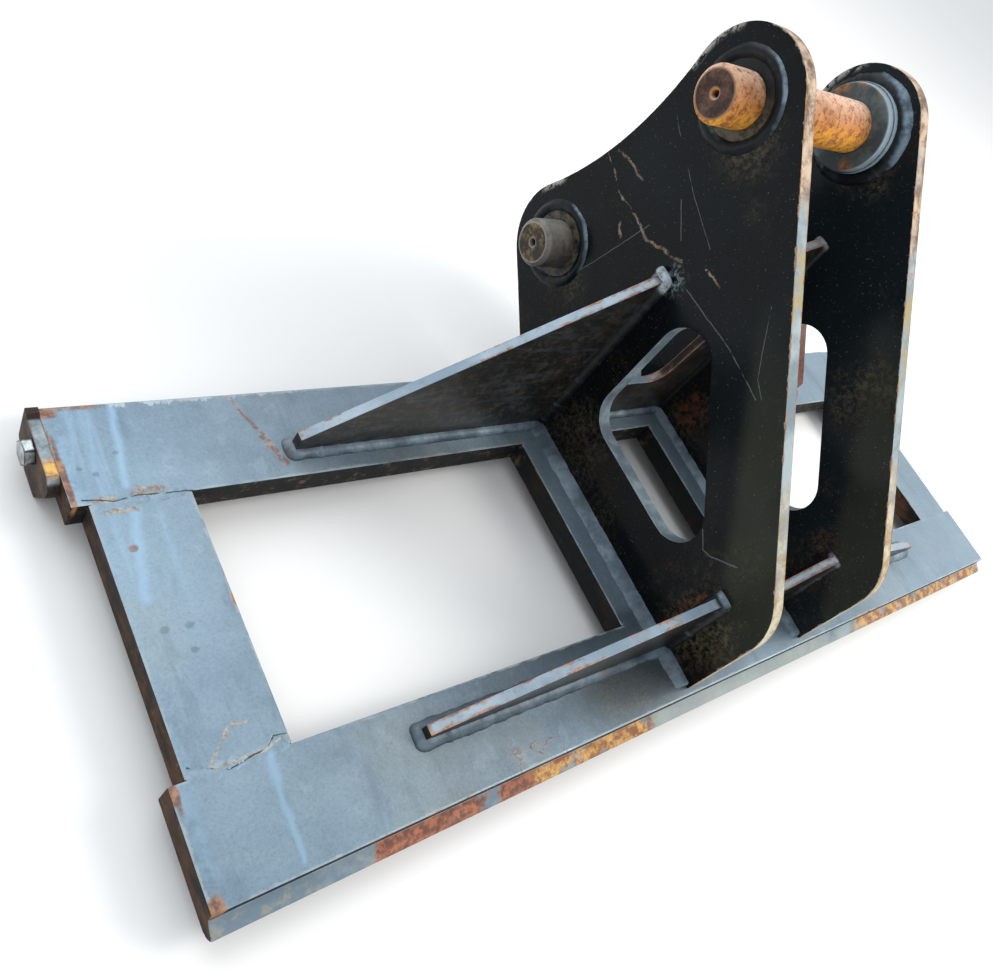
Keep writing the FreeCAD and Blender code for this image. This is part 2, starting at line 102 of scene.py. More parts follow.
class Material:
    """A node material with short names for the few nodes used here. Masks run from 0 to 1."""

    def __init__(self, name):
        self.material = bpy.data.materials.new(name)
        self.material.use_nodes = True
        self.tree = self.material.node_tree
        self.shader = self.tree.nodes["Principled BSDF"]
        self.place = self.add("ShaderNodeTexCoord").outputs["Object"]
        self.normal = self.add("ShaderNodeTexCoord").outputs["Normal"]
        self.parts = {}

    def add(self, kind, **settings):
        """A new node."""
        node = self.tree.nodes.new(kind)
        for key, value in settings.items():
            setattr(node, key, value)
        return node

    def put(self, socket, value):
        """Links a socket, or sets its constant."""
        if isinstance(value, bpy.types.NodeSocket):
            self.tree.links.new(value, socket)
        else:
            socket.default_value = value

    def math(self, operation, a, b=0.0, clamp=False):
        node = self.add("ShaderNodeMath", operation=operation, use_clamp=clamp)
        self.put(node.inputs[0], a)
        self.put(node.inputs[1], b)
        return node.outputs[0]

    def times(self, *values):
        """Product of masks: all of them."""
        result = values[0]
        for value in values[1:]:
            result = self.math("MULTIPLY", result, value)
        return result

    def either(self, *values):
        """Largest of several masks: any of them."""
        result = values[0]
        for value in values[1:]:
            result = self.math("MAXIMUM", result, value)
        return result

    def flip(self, value):
        """The opposite mask."""
        return self.math("SUBTRACT", 1.0, value, clamp=True)

    def vector(self, operation, a, b=(0, 0, 0), scale=None):
        node = self.add("ShaderNodeVectorMath", operation=operation)
        self.put(node.inputs[0], a)
        if operation != "SCALE":
            self.put(node.inputs[1], b)
        if scale is not None:
            self.put(node.inputs["Scale"], scale)
        return node.outputs["Value" if operation in ("LENGTH", "DOT_PRODUCT", "DISTANCE") else "Vector"]

    def mix(self, factor, a, b):
        """Colour a where the mask is 0, colour b where it is 1."""
        node = self.add("ShaderNodeMix", data_type="RGBA")
        self.put(node.inputs["Factor"], factor)
        self.put(node.inputs[6], rgb(a) if isinstance(a, str) else a)
        self.put(node.inputs[7], rgb(b) if isinstance(b, str) else b)
        return node.outputs[2]

    def step(self, value, low, high):
        """0 below low, 1 above high, smooth between; low above high turns it round."""
        node = self.add("ShaderNodeMapRange", interpolation_type="SMOOTHSTEP")
        turned = low > high
        self.put(node.inputs["Value"], value)
        self.put(node.inputs["From Min"], min(low, high))
        self.put(node.inputs["From Max"], max(low, high))
        self.put(node.inputs["To Min"], 1.0 if turned else 0.0)
        self.put(node.inputs["To Max"], 0.0 if turned else 1.0)
        return node.outputs["Result"]

    def between(self, value, low, high, soft):
        """1 from low to high, with soft borders."""
        above = self.step(value, low - soft, low + soft)
        return self.times(above, self.step(value, high + soft, high - soft))

    def noise(self, scale, detail=4.0, rough=0.55, stretch=(1, 1, 1), shift=0.0):
        """Noise fixed to the object, about 0.5 on average; shift picks another part of it."""
        moved = self.vector("MULTIPLY", self.place, stretch)
        moved = self.vector("ADD", moved, (shift, shift * 0.7, -shift))
        node = self.add("ShaderNodeTexNoise")
        self.put(node.inputs["Vector"], moved)
        node.inputs["Scale"].default_value = scale
        node.inputs["Detail"].default_value = detail
        node.inputs["Roughness"].default_value = rough
        return node.outputs["Fac"]

    def around(self, value, amount):
        """Noise moved to 0 on average and scaled."""
        return self.math("MULTIPLY", self.math("SUBTRACT", value, 0.5), amount)

    def axis(self, name, of="place"):
        """X, Y or Z of the place or of the normal."""
        if of not in self.parts:
            node = self.add("ShaderNodeSeparateXYZ")
            self.put(node.inputs[0], getattr(self, of))
            self.parts[of] = node
        return self.parts[of].outputs[name]

    def edge(self):
        """Distance from the nearest sharp edge in millimetres, kept on the mesh."""
        if "edge" not in self.parts:
            node = self.add("ShaderNodeAttribute", attribute_name="edge")
            self.parts["edge"] = node.outputs["Fac"]
        return self.parts["edge"]

    def upward(self, low=0.3, high=0.8):
        """Mask for faces that look up."""
        return self.step(self.axis("Z", "normal"), low, high)

    def spot(self, centre, size, low=0.6, high=1.1, wobble=0.0):
        """1 inside a soft ellipsoid, its border moved by noise."""
        away = self.vector("SUBTRACT", self.place, centre)
        away = self.vector("DIVIDE", away, size)
        length = self.vector("LENGTH", away)
        if wobble:
            length = self.math("ADD", length, self.around(self.noise(60, 5, 0.65), wobble))
        return self.step(length, high, low)

    def shaken(self, amount, scale=45):
        """The place, moved a little at random, so that borders drawn on it are ragged."""
        key = ("shaken", amount, scale)
        if key not in self.parts:
            node = self.add("ShaderNodeTexNoise")
            self.put(node.inputs["Vector"], self.place)
            node.inputs["Scale"].default_value = scale
            node.inputs["Detail"].default_value = 5
            node.inputs["Roughness"].default_value = 0.65
            shake = self.vector("SUBTRACT", node.outputs["Color"], (0.5, 0.5, 0.5))
            self.parts[key] = self.vector("ADD", self.place, self.vector("SCALE", shake, scale=amount * 2))
        return self.parts[key]

    def line(self, a, b, width, wobble=0.004, scale=45, soft=0.45):
        """1 on a ragged line between two points."""
        a, b = Vector(a), Vector(b)
        offset = self.vector("SUBTRACT", self.shaken(wobble, scale), tuple(a))
        along = self.vector("DOT_PRODUCT", offset, tuple((b - a) / (b - a).length_squared))
        along = self.math("MAXIMUM", self.math("MINIMUM", along, 1.0), 0.0)
        nearest = self.vector("SCALE", tuple(b - a), scale=along)
        distance = self.vector("DISTANCE", offset, nearest)
        return self.step(distance, width, width * soft)

    def path(self, points, width, **options):
        """1 on a ragged line through several points."""
        lines = [self.line(a, b, width, **options) for a, b in zip(points, points[1:])]
        return self.either(*lines)

    def ragged_edge(self, amount=13.0, scale=42):
        """Distance from the nearest edge in millimetres, made uneven."""
        return self.math("SUBTRACT", self.edge(), self.around(self.noise(scale, 6, 0.7, shift=2), amount))

    def bump(self, height, strength, distance=0.001):
        """Raises the surface by a height map, for its shading only."""
        node = self.add("ShaderNodeBump")
        self.put(node.inputs["Strength"], strength)
        self.put(node.inputs["Distance"], distance)
        self.put(node.inputs["Height"], height)
        self.put(self.shader.inputs["Normal"], node.outputs["Normal"])

    def finish(self, colour, roughness, metallic=0.0, specular=0.5):
        """Sets the shader's sockets and hands the material over."""
        self.put(self.shader.inputs["Base Color"], colour)
        self.put(self.shader.inputs["Roughness"], roughness)
        self.put(self.shader.inputs["Metallic"], metallic)
        self.shader.inputs["Specular IOR Level"].default_value = specular
        return self.material


def on_bar(*points):
    """Points on the frame's upper face."""
    return [(x, y, BAR_TOP) for x, y in points]


def on_ear(side, *points):
    """Points on the outer face of an ear, given by Y and Z."""
    face = EAR[side][0 if side < 0 else 1].x
    return [(face, y, z) for y, z in points]


def dried_runs(m, x, y):
    """Mask for the pale runs where water has dried, near the frame's left end."""
    runs = m.noise(1.0, 4, 0.6, stretch=(46, 2.0, 1), shift=1.3)
    run_area = m.times(m.between(x, -0.738, -0.672, 0.012), m.step(y, -0.02, 0.1), 0.45)
    lines = [
        m.times(m.path(on_bar(*points), width, wobble=wobble, soft=0.0), strength)
        for points, width, wobble, strength in (
            (((-0.686, 0.24), (-0.698, 0.15)), 0.007, 0.004, 0.7),
            (((-0.71, 0.235), (-0.723, 0.17)), 0.006, 0.004, 0.45),
            (((-0.726, 0.235), (-0.74, 0.17)), 0.006, 0.004, 0.4),
            (((-0.698, 0.122), (-0.706, 0.09), (-0.717, 0.03)), 0.009, 0.005, 0.65),
            (((-0.661, -0.142), (-0.664, -0.165)), 0.008, 0.004, 0.8),
            (((-0.664, -0.165), (-0.665, -0.195), (-0.666, -0.236)), 0.0055, 0.004, 0.7),
        )
    ]
    end = m.times(m.step(x, -0.728, -0.744), m.step(m.noise(26, 6, 0.7, shift=21), 0.4, 0.58), 0.5)
    return m.either(m.times(m.step(runs, 0.48, 0.68), run_area), *lines, end)


def chalky_crust(m, x, y):
    """Mask for the pale, ragged crust along the upper bar's outer edge."""
    most = m.times(m.between(x, -0.7, -0.45, 0.02), m.step(y, 0.235, 0.247), 0.2)
    ragged = m.noise(55, 6, 0.75, stretch=(1, 0.35, 1), shift=12)
    crust = m.step(m.math("ADD", ragged, most), 0.66, 0.72)
    return m.times(crust, m.step(y, 0.219, 0.228), 0.75)


def smudges(m):
    """Mask for small dark smudges on the left end."""
    return m.either(*[
        m.spot((x_at, y_at, BAR_TOP), (size, size * 0.8, 0.02), wobble=1.6)
        for x_at, y_at, size in (
            (-0.711, -0.004, 0.005), (-0.688, -0.005, 0.006), (-0.691, -0.029, 0.004),
            (-0.722, 0.166, 0.004), (-0.735, 0.174, 0.003), (-0.697, 0.188, 0.003),
        )
    ])


def bar_top(m):
    """Blue-grey on the frame's upper faces, partly dusty paint and partly a painted sky reflection, with
    runs, stains and painted shade at the ears.
    """
    x, y = m.axis("X"), m.axis("Y")
    colour = m.mix(m.step(m.noise(3.4, 5, 0.62), 0.36, 0.66), "6A7B88", "8698A4")
    colour = m.mix(m.times(m.step(m.noise(10, 6, 0.65, shift=5), 0.5, 0.7), 0.45), colour, "5A6973")
    colour = m.mix(m.times(m.step(m.noise(5, 5, 0.6, shift=33), 0.5, 0.66), 0.3), colour, "8F9086")
    colour = m.mix(m.times(m.step(x, -0.5, -0.72), 0.2), colour, "7FA0B8")
    colour = m.mix(m.times(m.step(x, 0.15, 0.5), 0.4), colour, "9DB3C1")
    colour = m.mix(m.times(m.step(m.noise(30, 6, 0.7, shift=9), 0.52, 0.7), 0.3), colour, "9AABB5")
    grain = m.noise(420, 4, 0.75, shift=4)
    colour = m.mix(m.times(m.step(grain, 0.52, 0.68), 0.2), colour, "A9B8C1")
    colour = m.mix(m.times(m.step(grain, 0.48, 0.32), 0.3), colour, "505C65")
    wiped = m.noise(9, 6, 0.7, stretch=(5, 1, 1), shift=11)
    colour = m.mix(m.times(m.step(wiped, 0.52, 0.7), 0.3), colour, "5A6A77")
    colour = m.mix(dried_runs(m, x, y), colour, "8FADC4")
    colour = m.mix(chalky_crust(m, x, y), colour, "AEBCC2")
    colour = m.mix(m.times(smudges(m), 0.4), colour, "46525B")
    # painted shade: in the shelter of the ears the paint is darkened, on the strip beside the foot and round
    # the outer foot; brown dust lies beside the outer foot
    beside_foot = m.times(m.step(y, -0.175, -0.135), m.step(y, -0.11, -0.13))
    inner = m.times(m.step(x, -0.52, -0.25), m.step(x, 0.5, 0.2), beside_foot)
    outer = m.spot((-0.215, -0.205, BAR_TOP), (0.15, 0.062, 0.03), 0.3, 1.15, wobble=0.5)
    painted_ear_shade = m.either(m.times(inner, 0.75), m.times(outer, 0.9))
    # mixes in the painted shade colour
    colour = m.mix(m.times(painted_ear_shade, 0.9), colour, "49545B")
    dusty = m.times(outer, m.step(grain, 0.42, 0.6), m.step(m.noise(14, 5, 0.6, shift=2), 0.4, 0.6))
    return m.mix(m.times(dusty, 0.5), colour, "7C7362")


def seam_marks(m):
    """Masks for the butt seams: the hair crack and the rust crust beside it."""
    crack = m.either(
        m.path(
            on_bar((-0.742, 0.14), (-0.717, 0.135), (-0.693, 0.137), (-0.635, 0.134)),
            0.0011, wobble=0.003,
        ),
        m.path(
            on_bar((-0.733, -0.128), (-0.7, -0.142), (-0.66, -0.134), (-0.652, -0.126), (-0.64, -0.128)),
            0.0011, wobble=0.003,
        ),
    )
    crust = m.either(
        m.spot((-0.72, 0.137, BAR_TOP), (0.013, 0.0055, 0.02), wobble=1.6),
        m.spot((-0.679, 0.141, BAR_TOP), (0.018, 0.0065, 0.02), wobble=1.7),
        m.spot((-0.711, 0.1235, BAR_TOP), (0.022, 0.0045, 0.02), wobble=1.7),
        m.path(
            on_bar((-0.712, -0.134), (-0.699, -0.118), (-0.685, -0.104), (-0.671, -0.105)),
            0.0024, wobble=0.004,
        ),
        m.path(on_bar((-0.71, -0.137), (-0.665, -0.136), (-0.645, -0.131)), 0.0022, wobble=0.003),
    )
    grain = m.step(m.noise(190, 4, 0.7, shift=8), 0.42, 0.52)
    return m.times(crack, 0.85), m.times(crust, grain)


def bare_steel(m, ragged):
    """Where the frame's paint has gone: along edges, at corners, and at one scrape."""
    x, y = m.axis("X"), m.axis("Y")
    edges = m.times(m.step(ragged, 2.8, 0.2), m.step(m.noise(6, 5, 0.65, shift=11), 0.54, 0.63))
    corners = m.either(
        m.spot((-0.747, -0.242, BAR_TOP), (0.009, 0.012, 0.03), wobble=1.5),
        m.spot((-0.749, -0.146, BAR_TOP), (0.005, 0.02, 0.03), wobble=1.4),
        m.spot((-0.748, 0.24, BAR_TOP), (0.012, 0.007, 0.03), wobble=1.4),
        m.spot((-0.75, 0.165, BAR_TOP), (0.004, 0.05, 0.03), wobble=1.4),
    )
    far_edge = m.times(
        m.between(x, -0.745, -0.69, 0.015), m.step(y, 0.24, 0.2435),
        m.step(m.noise(60, 5, 0.7, shift=31), 0.38, 0.52),
    )
    scrape_area = m.times(m.between(x, -0.425, -0.355, 0.01), m.between(y, -0.25, -0.222, 0.004))
    scrape = m.times(scrape_area, m.between(m.noise(36, 3, 0.5, shift=15), 0.485, 0.51, 0.008), 0.7)
    spot = m.times(m.spot((-0.712, 0.082, BAR_TOP), (0.0055, 0.0045, 0.02), wobble=0.9), 0.75)
    return m.either(edges, corners, m.times(far_edge, 0.8), scrape, spot)


def peeled_line(m):
    """The scrape that runs across the upper bar to the gusset's weld."""
    thin = m.path(
        on_bar((-0.56, 0.242), (-0.551, 0.217), (-0.54, 0.193), (-0.539, 0.176)),
        0.0026, wobble=0.005,
    )
    wide = m.path(on_bar((-0.54, 0.19), (-0.532, 0.166), (-0.526, 0.152)), 0.006, wobble=0.008)
    branch = m.path(on_bar((-0.523, 0.238), (-0.526, 0.225), (-0.524, 0.21)), 0.0013, wobble=0.005)
    broken = m.step(m.noise(150, 5, 0.7, shift=6), 0.36, 0.5)
    return m.times(m.either(thin, wide, m.times(branch, 0.6)), broken)


def tongue_colour(m):
    """Lower bar's tongue: grey paint with stretches of rust along it."""
    uneven = m.around(m.noise(50, 5, 0.7, shift=23), 0.012)
    lip = m.step(m.math("ADD", m.axis("Z"), uneven), 0.0235, 0.0215)
    grey = m.mix(m.step(m.noise(16, 5, 0.65, shift=5), 0.4, 0.66), "6D7F8C", "95A4A8")
    grey = m.mix(m.times(m.step(m.noise(40, 6, 0.75, shift=15), 0.52, 0.66), 0.6), grey, "A39A85")
    along = m.math("ADD", m.axis("X"), m.around(m.noise(14, 6, 0.7, shift=19), 0.14))
    cream = m.between(along, -0.2, 0.2, 0.03)
    grey = m.mix(m.times(cream, 0.55), grey, "A9AFA6")
    fine = m.noise(110, 6, 0.75, shift=3)
    red = m.times(m.either(m.between(along, -0.6, -0.47, 0.008), m.between(along, -0.445, -0.38, 0.006)), lip)
    grey = m.mix(m.times(red, 0.9), grey, m.mix(m.step(fine, 0.4, 0.6), "70402E", "B06C4C"))
    bright = m.either(m.between(along, -0.385, -0.2, 0.012), m.times(m.between(along, 0.3, 0.8, 0.02), 0.9))
    patchy = m.step(m.noise(34, 6, 0.75, shift=4), 0.34, 0.48)
    orange = m.mix(m.step(m.noise(60, 6, 0.75, shift=8), 0.42, 0.6), "8E5630", "D9A85C")
    orange = m.mix(m.times(m.step(fine, 0.56, 0.66), 0.7), orange, "5C3A26")
    return m.mix(m.times(bright, patchy, 0.9), grey, orange)


def frame_paint():
    """Bars, end plates and members: glossy weathered paint, dark at the sides, with a pale blue-grey top that
    is partly a painted sky reflection, rusty at the edges.
    """
    m = Material("frame_paint")
    fine = m.noise(75, 6, 0.7, shift=3)
    up = m.upward(0.25, 0.75)
    side = m.mix(m.step(m.noise(12, 6, 0.7, shift=8), 0.46, 0.74), "0D0F11", "2A231C")
    side = m.mix(m.times(m.step(fine, 0.5, 0.72), m.step(m.axis("Y"), 0.11, 0.125), 0.8), side, "6F6353")
    side = m.mix(m.times(m.step(fine, 0.52, 0.78), 0.3), side, "4E443A")
    # upward faces take bar_top's blue-grey, partly paint and partly a painted sky reflection; other faces
    # keep the dark side colour
    colour = m.mix(up, side, bar_top(m))
    ragged = m.ragged_edge()
    stretches = m.step(m.noise(8, 4, 0.6, shift=17), 0.4, 0.52)
    worn = m.times(m.step(ragged, 3.2, 0.6), m.upward(0.2, 0.5), stretches)
    colour = m.mix(m.times(worn, 0.7), colour, "AAB6BA")
    rust = m.mix(m.step(m.noise(90, 6, 0.75, shift=6), 0.4, 0.62), "6A4632", "B07C50")
    bare = bare_steel(m, ragged)
    colour = m.mix(m.times(bare, 0.85), colour, rust)
    crack, crust = seam_marks(m)
    colour = m.mix(m.times(crust, 0.8), colour, m.mix(m.step(fine, 0.42, 0.58), "8A6F55", "B9AE97"))
    colour = m.mix(crack, colour, "20252A")
    peeled = peeled_line(m)
    colour = m.mix(m.times(peeled, 0.8), colour, m.mix(m.step(fine, 0.42, 0.6), "7C5748", "A89C90"))
    tongue = m.times(m.step(m.axis("Y"), -0.2464, -0.2472), m.upward(-0.9, -0.6))
    colour = m.mix(tongue, colour, tongue_colour(m))
    sideways = m.math("ABSOLUTE", m.axis("X", "normal"))
    across = m.times(m.step(sideways, 0.6, 0.85), m.step(m.math("ABSOLUTE", m.axis("X")), 0.6, 0.62))
    end = m.mix(m.step(m.noise(26, 7, 0.7, stretch=(1, 1, 2), shift=4), 0.4, 0.7), "17110C", "52361F")
    end = m.mix(m.times(m.step(fine, 0.55, 0.75), 0.5), end, "86603A")
    colour = m.mix(across, colour, end)
    dull = m.either(bare, crust, across, worn, tongue, m.flip(up))
    rough = m.math("ADD", 0.32, m.math("MULTIPLY", dull, 0.38))
    shine = m.times(up, m.flip(m.either(bare, crust, across, tongue)), 0.35)
    height = m.math("ADD", m.math("MULTIPLY", fine, 0.4), m.math("MULTIPLY", m.either(bare, crust), 0.8))
    m.bump(m.math("SUBTRACT", height, m.times(crack, 1.5)), 0.25, 0.0012)
    return m.finish(colour, rough, metallic=shine, specular=0.25)


def ear_scratches(m):
    """Masks for the deep scrapes and the hair scratches on the ears."""
    deep = m.either(*[
        m.path(on_ear(side, *points), width, wobble=wobble)
        for side, points, width, wobble in (
            (-1, ((0.343, 0.344), (0.314, 0.336), (0.291, 0.327), (0.24, 0.325)), 0.0018, 0.007),
            (-1, ((0.24, 0.325), (0.222, 0.322), (0.207, 0.327), (0.165, 0.343)), 0.0027, 0.008),
            (-1, ((0.328, 0.357), (0.304, 0.361), (0.279, 0.361)), 0.0023, 0.008),
            (-1, ((0.135, 0.363), (0.123, 0.365), (0.108, 0.364)), 0.0019, 0.006),
            (-1, ((0.262, 0.304), (0.25, 0.296)), 0.003, 0.009),
            (1, ((0.111, 0.479), (0.1, 0.468)), 0.004, 0.009),
        )
    ])
    hair = m.either(*[
        m.path(on_ear(-1, *points), width, wobble=wobble, scale=scale)
        for points, width, wobble, scale in (
            (((0.23, 0.335), (0.244, 0.288), (0.267, 0.216)), 0.0007, 0.002, 20),
            (((0.219, 0.385), (0.185, 0.357)), 0.0008, 0.002, 20),
            (((-0.094, 0.175), (-0.113, 0.16), (-0.125, 0.165), (-0.153, 0.188)), 0.0011, 0.002, 45),
            (((0.05, 0.4), (0.0, 0.34), (-0.02, 0.33)), 0.0006, 0.002, 20),
            (((0.3, 0.44), (0.21, 0.4), (0.15, 0.38)), 0.0006, 0.003, 20),
            (((0.137, 0.328), (0.046, 0.332), (-0.016, 0.324)), 0.0009, 0.003, 20),
        )
    ])
    broken = m.step(m.noise(110, 5, 0.7, shift=7), 0.36, 0.5)
    return m.times(deep, broken), m.times(hair, 0.32)


def ear_dust(m, fine):
    """Mask for brown dust: clouds, below the pins and at the feet."""
    lower = m.times(m.step(m.axis("Z"), 0.24, 0.05), 0.1)
    cloud = m.step(m.math("ADD", m.noise(7, 6, 0.7, shift=4), lower), 0.52, 0.76)
    pins = m.either(*[
        m.spot((0, centre.y - 0.035, centre.z - 0.02), (WIDE, 0.055, 0.045), 0.2, 1.2, wobble=0.8)
        for centre in (MAIN, LINK)
    ])
    feet = m.either(
        m.spot((-0.138, -0.19, 0.09), (0.02, 0.055, 0.055), 0.5, 1.3, wobble=0.9),
        m.times(m.spot((-0.138, 0.1, 0.08), (0.02, 0.07, 0.06), 0.2, 1.2, wobble=0.9), 0.6),
        m.spot((0.118, 0.11, 0.08), (0.012, 0.05, 0.06), 0.3, 1.2, wobble=0.9),
        m.times(m.spot((0.118, -0.02, 0.31), (0.012, 0.05, 0.07), 0.0, 1.2, wobble=1.2), 0.8),
        m.spot((0.118, -0.15, 0.15), (0.012, 0.03, 0.03), 0.2, 1.2, wobble=0.9),
    )
    dust = m.either(m.times(cloud, 0.5), m.times(pins, 0.7), m.times(feet, 0.9))
    return m.times(dust, m.step(fine, 0.4, 0.64))


def ear_cut(m, ragged, window):
    """Colour of the ears' cut edges: pale steel, warm at the top and bottom, grey inside the window."""
    z = m.math("ADD", m.axis("Z"), m.around(m.noise(9, 6, 0.65, shift=6), 0.35))
    pale = m.mix(m.step(m.noise(12, 6, 0.65, shift=7), 0.4, 0.62), "78868D", "9FADB0")
    cream = m.mix(m.step(m.noise(40, 6, 0.75, shift=5), 0.4, 0.62), "A88F68", "CDC4AC")
    peach = m.mix(m.step(m.noise(40, 6, 0.75, shift=9), 0.38, 0.6), "6E5A48", "C2AC96")
    stain = m.between(z, 0.4, 0.44, 0.015)
    colour = m.mix(m.step(z, 0.3, 0.2), pale, cream)
    colour = m.mix(m.times(stain, 0.6), colour, "B09A58")
    colour = m.mix(m.step(z, 0.47, 0.53), colour, peach)
    rust = m.mix(m.step(m.noise(90, 5, 0.7, shift=3), 0.4, 0.62), "7A4420", "BA7C3C")
    along = m.step(m.noise(11, 5, 0.65, shift=14), 0.4, 0.56)
    colour = m.mix(m.times(m.step(ragged, 2.6, 0.6), along, 0.8), colour, rust)
    wall = m.mix(m.step(m.noise(20, 5, 0.6), 0.4, 0.65), "56636B", "87959C")
    wall = m.mix(m.times(m.step(m.edge(), 1.6, 0.4), 0.7), wall, "93A1A8")
    return m.mix(window, colour, wall)


def hitch_paint():
    """Ears: near-black gloss with dust, scratches and pale worn cut edges."""
    m = Material("hitch_paint")
    fine = m.noise(130, 6, 0.75, shift=2)
    y, z = m.axis("Y"), m.axis("Z")
    # distance behind the ears' sloping front edge; the window lies well behind it
    behind = m.vector("DOT_PRODUCT", m.place, (0, 0.732, -0.681))
    behind = m.math("ADD", behind, 0.257)
    opening = m.times(m.between(y, -0.14, 0.15, 0.006), m.between(z, 0.1, 0.43, 0.006))
    window = m.times(m.step(behind, 0.02, 0.035), opening)
    colour = m.mix(m.step(m.noise(5, 5, 0.6), 0.35, 0.7), "070B0D", "0E1417")
    colour = m.mix(m.step(m.axis("X"), 0.0, 0.05), colour, "151C20")
    patches = m.step(m.noise(8, 4, 0.5, shift=3), 0.3, 0.5)
    olive = m.times(m.step(behind, 0.045, 0.02), m.step(z, 0.42, 0.3), patches)
    colour = m.mix(m.times(olive, 0.7), colour, "33362D")
    dust = ear_dust(m, fine)
    earth = m.mix(m.step(m.noise(10, 4, 0.6), 0.4, 0.6), "4A3624", "6A5F4A")
    colour = m.mix(m.times(dust, 0.75), colour, earth)
    rust = m.mix(m.step(m.noise(90, 5, 0.7, shift=3), 0.4, 0.62), "4A2A16", "7E4C28")
    corner = m.either(
        m.path(on_ear(-1, (-0.155, 0.09), (-0.165, 0.12), (-0.168, 0.15)), 0.009, wobble=0.014),
        m.spot((0.118, 0.12, 0.08), (0.01, 0.03, 0.04), 0.3, 1.1, wobble=1.2),
    )
    colour = m.mix(m.times(corner, m.step(fine, 0.38, 0.56), 0.75), colour, rust)
    specks = m.step(m.noise(420, 3, 0.6, shift=9), 0.66, 0.72)
    colour = m.mix(m.times(specks, 0.5), colour, "8F8B82")
    deep, hair = ear_scratches(m)
    scraped = m.mix(m.step(m.noise(60, 5, 0.7), 0.4, 0.6), "5E4638", "8C8071")
    colour = m.mix(m.times(deep, 0.85), colour, scraped)
    colour = m.mix(hair, colour, "8F9494")
    # spatter round the weld that ends at the top of each gusset
    spatter = m.spot((0, 0.158, 0.322), (WIDE, 0.02, 0.02), 0.2, 1.2, wobble=1.4)
    colour = m.mix(m.times(spatter, m.step(fine, 0.46, 0.6), 0.5), colour, "9FB0B8")
    rim = m.step(m.math("ABSOLUTE", m.axis("X", "normal")), 0.7, 0.45)
    ragged = m.ragged_edge(12.0, 50)
    colour = m.mix(rim, colour, ear_cut(m, ragged, window))
    spray = m.either(
        m.spot((0, 0.312, 0.522), (WIDE, 0.022, 0.042), 0.7, 1.1, wobble=1.2),
        m.spot((0, 0.385, 0.262), (WIDE, 0.02, 0.03), 0.7, 1.1, wobble=1.2),
    )
    flakes = m.times(spray, m.step(m.noise(120, 6, 0.75, shift=13), 0.44, 0.52), m.step(m.edge(), 9, 2))
    chips = m.times(m.flip(rim), m.flip(window), m.either(m.times(m.step(ragged, 0.9, 0.0), 0.7), flakes))
    colour = m.mix(chips, colour, "9C9A93")
    dull = m.either(rim, dust, deep, chips)
    rough = m.math("ADD", 0.17, m.math("MULTIPLY", dull, 0.45))
    m.bump(m.math("SUBTRACT", fine, deep), 0.1, 0.0008)
    return m.finish(colour, rough, metallic=m.times(rim, m.upward(0.3, 0.7), 0.2), specular=0.13)


def rib_paint(name="rib_paint", lipped=False):
    """Gussets and cross plates: dusty black sides with painted shade on the near ones, pale blue-grey top
    edges (partly a painted sky reflection) with rust patches.
    """
    m = Material(name)
    fine = m.noise(90, 6, 0.75, shift=2)
    side = m.mix(m.step(m.noise(9, 6, 0.7), 0.36, 0.66), "191C1C", "2B2621")
    side = m.mix(m.times(m.step(fine, 0.46, 0.72), 0.6), side, "5E564A")
    brush = m.noise(14, 5, 0.7, stretch=(1, 1, 6), shift=7)
    side = m.mix(m.times(m.step(brush, 0.5, 0.68), 0.6), side, "454C4E")
    # painted shade: sides on the near side of the frame are darkened
    side = m.mix(m.times(m.step(m.axis("Y"), -0.1, -0.14), 0.75), side, "0D0F10")
    far_right = m.times(m.step(m.axis("X"), 0.15, 0.2), m.step(m.axis("Y"), 0.1, 0.12))
    side = m.mix(m.times(far_right, m.step(fine, 0.3, 0.5), 0.8), side, "8C5640")
    ragged = m.ragged_edge(12.0, 55)
    rust = m.mix(m.step(m.noise(90, 6, 0.75, shift=3), 0.4, 0.62), "77503F", "B8835E")
    # pale blue-grey of the upward faces, partly paint and partly a painted sky reflection
    top = m.mix(m.step(m.noise(10, 5, 0.6, shift=6), 0.35, 0.7), "7F919F", "A3B2BC")
    top = m.mix(m.times(m.step(fine, 0.5, 0.7), 0.35), top, "5A666E")
    if lipped:
        floor = m.upward(0.03, 0.2)
        up = m.either(floor, m.times(m.step(m.edge(), 1.8, 0.8), m.step(m.axis("Z"), 0.08, 0.1)))
        patch = m.step(m.math("ABSOLUTE", m.axis("X")), 0.012, 0.03)
        steep = m.times(m.upward(0.8, 0.5), m.step(m.edge(), 0.6, 1.6))
        top = m.mix(m.times(steep, 0.9), top, "33190F")
    else:
        up = m.upward(0.35, 0.6)
        place = m.math("ABSOLUTE", m.axis("X"))
        ends = m.either(m.step(place, 0.42, 0.5), m.step(place, 0.22, 0.15))
        uneven = m.math("ADD", m.noise(12, 6, 0.7, shift=12), m.math("MULTIPLY", ends, 0.07))
        patch = m.step(uneven, 0.52, 0.58)
    bare = m.times(m.step(ragged, 4.0, 1.0), patch, up)
    colour = m.mix(up, side, m.mix(m.times(bare, 0.85), top, rust))
    m.bump(fine, 0.2, 0.001)
    rough = m.math("ADD", 0.36, m.math("MULTIPLY", bare, 0.3))
    return m.finish(colour, rough, metallic=m.times(up, m.flip(bare), 0.25), specular=0.3)


